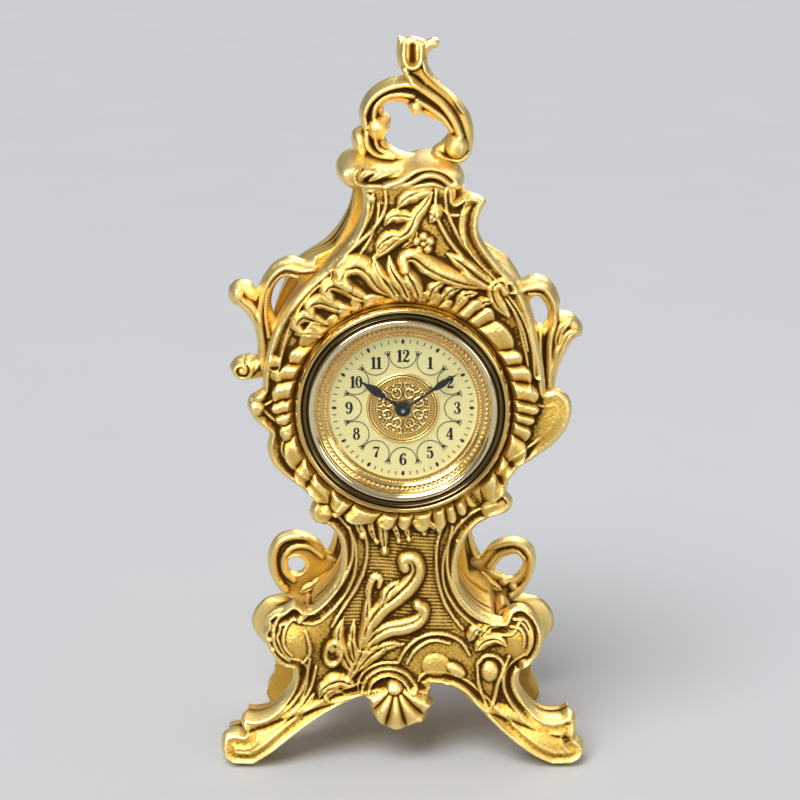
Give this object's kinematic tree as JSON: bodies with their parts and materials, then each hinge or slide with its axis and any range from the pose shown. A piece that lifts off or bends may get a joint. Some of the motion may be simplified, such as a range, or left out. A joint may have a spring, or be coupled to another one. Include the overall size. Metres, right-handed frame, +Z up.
{
  "type": "mantel clock",
  "caption": "Ornate gilt cast-metal mantel clock with open scroll finial, side scrolls and splayed scroll feet, a round glazed cream dial and a key-wound drum movement.",
  "frame": {"origin": "on the shelf under the middle of the clock", "axes": "+Z up, the dial faces -Y, +X to the right of someone reading the dial"},
  "size_m": [0.1498, 0.072, 0.294],
  "materials": {
    "gilt_casting": "gilt cast metal, sandy grain, brown patina in the recesses",
    "polished_brass": "polished",
    "cream_enamel": "satin",
    "black_paint": "gloss",
    "clear_glass": "clear",
    "movement_brass": "brushed",
    "steel": "brushed",
    "spring_steel": "blued"
  },
  "bodies": {
    "root": {"front_case": "gilt_casting", "rear_case": "gilt_casting", "finial": "gilt_casting", "finial_nut": "movement_brass", "left_wing": "gilt_casting", "right_wing": "gilt_casting", "case_screws": "steel", "bezel": "polished_brass", "glass": "clear_glass", "bead_ring": "polished_brass", "dial": "cream_enamel", "dial_centre": "polished_brass", "dial_plate": "movement_brass", "dial_feet": "movement_brass", "front_plate": "movement_brass", "back_plate": "movement_brass", "plate_pillars": "movement_brass", "pillar_nuts": "movement_brass", "click_screw": "steel", "click_spring": "spring_steel", "balance_cock": "movement_brass", "cock_screw": "steel", "hairspring": "spring_steel", "movement_can": "movement_brass", "rear_cover": "movement_brass", "cover_screws": "steel", "clamp_strap": "movement_brass", "strap_screws": "steel"},
    "minute_set": {"minute_hand": "black_paint", "hand_nut": "black_paint", "cannon_pinion": "movement_brass", "centre_arbor": "steel", "setting_knob": "movement_brass"},
    "minute_wheel_set": {"minute_wheel": "movement_brass"},
    "hour_set": {"hour_wheel": "movement_brass", "hour_hand": "black_paint"},
    "barrel_set": {"barrel": "movement_brass", "barrel_cover": "movement_brass", "mainspring": "spring_steel"},
    "winding_set": {"barrel_arbor": "steel", "ratchet_wheel": "steel", "winding_key": "movement_brass"},
    "centre_set": {"centre_wheel": "movement_brass"},
    "third_set": {"third_wheel": "movement_brass"},
    "fourth_set": {"fourth_wheel": "movement_brass"},
    "escape_set": {"escape_wheel": "movement_brass"},
    "pallet_set": {"pallet_lever": "steel"},
    "balance_set": {"balance_wheel": "movement_brass"},
    "click_set": {"click": "steel"},
    "regulator_set": {"regulator": "steel"}
  },
  "joints": [
    {"name": "minute_turn", "type": "hinge", "parent": "root", "child": "minute_set", "pos_m": [0, 0, 0.149], "axis": [0, 1, 0], "continuous": true},
    {"name": "minute_wheel_turn", "type": "hinge", "parent": "root", "child": "minute_wheel_set", "pos_m": [0.00678, 0, 0.15147], "axis": [0, 1, 0], "continuous": true},
    {"name": "hour_turn", "type": "hinge", "parent": "root", "child": "hour_set", "pos_m": [0, 0, 0.149], "axis": [0, 1, 0], "continuous": true},
    {"name": "barrel_turn", "type": "hinge", "parent": "root", "child": "barrel_set", "pos_m": [0, 0, 0.13278], "axis": [0, 1, 0], "continuous": true},
    {"name": "centre_wheel_turn", "type": "hinge", "parent": "root", "child": "centre_set", "pos_m": [0, 0, 0.149], "axis": [0, 1, 0], "continuous": true},
    {"name": "third_wheel_turn", "type": "hinge", "parent": "root", "child": "third_set", "pos_m": [0.00765, 0, 0.15665], "axis": [0, 1, 0], "continuous": true},
    {"name": "fourth_wheel_turn", "type": "hinge", "parent": "root", "child": "fourth_set", "pos_m": [-0.00002, 0, 0.16108], "axis": [0, 1, 0], "continuous": true},
    {"name": "escape_wheel_turn", "type": "hinge", "parent": "root", "child": "escape_set", "pos_m": [-0.00784, 0, 0.1597], "axis": [0, 1, 0], "continuous": true},
    {"name": "winding_turn", "type": "hinge", "parent": "root", "child": "winding_set", "pos_m": [0, 0, 0.13278], "axis": [0, 1, 0], "continuous": true},
    {"name": "click_lift", "type": "hinge", "parent": "root", "child": "click_set", "pos_m": [0.0092, 0, 0.12978], "axis": [0, 1, 0], "range_deg": [0, 10], "stiffness_Nm_per_rad": 0.001},
    {"name": "pallet_rock", "type": "hinge", "parent": "root", "child": "pallet_set", "pos_m": [-0.01276, 0, 0.15626], "axis": [0, 1, 0], "range_deg": [-4, 4]},
    {"name": "balance_swing", "type": "hinge", "parent": "root", "child": "balance_set", "pos_m": [-0.01379, 0, 0.14893], "axis": [0, 1, 0], "range_deg": [-150, 150], "stiffness_Nm_per_rad": 0.00002},
    {"name": "regulator_turn", "type": "hinge", "parent": "root", "child": "regulator_set", "pos_m": [-0.01379, 0, 0.14893], "axis": [0, 1, 0], "range_deg": [-20, 20]}
  ],
  "couplings": [
    {"joint": "minute_wheel_turn", "follows": "minute_turn", "ratio": -0.33333},
    {"joint": "hour_turn", "follows": "minute_turn", "ratio": 0.083333},
    {"joint": "centre_wheel_turn", "follows": "barrel_turn", "ratio": -8},
    {"joint": "third_wheel_turn", "follows": "barrel_turn", "ratio": 64},
    {"joint": "fourth_wheel_turn", "follows": "barrel_turn", "ratio": -480},
    {"joint": "escape_wheel_turn", "follows": "barrel_turn", "ratio": 4800}
  ]
}
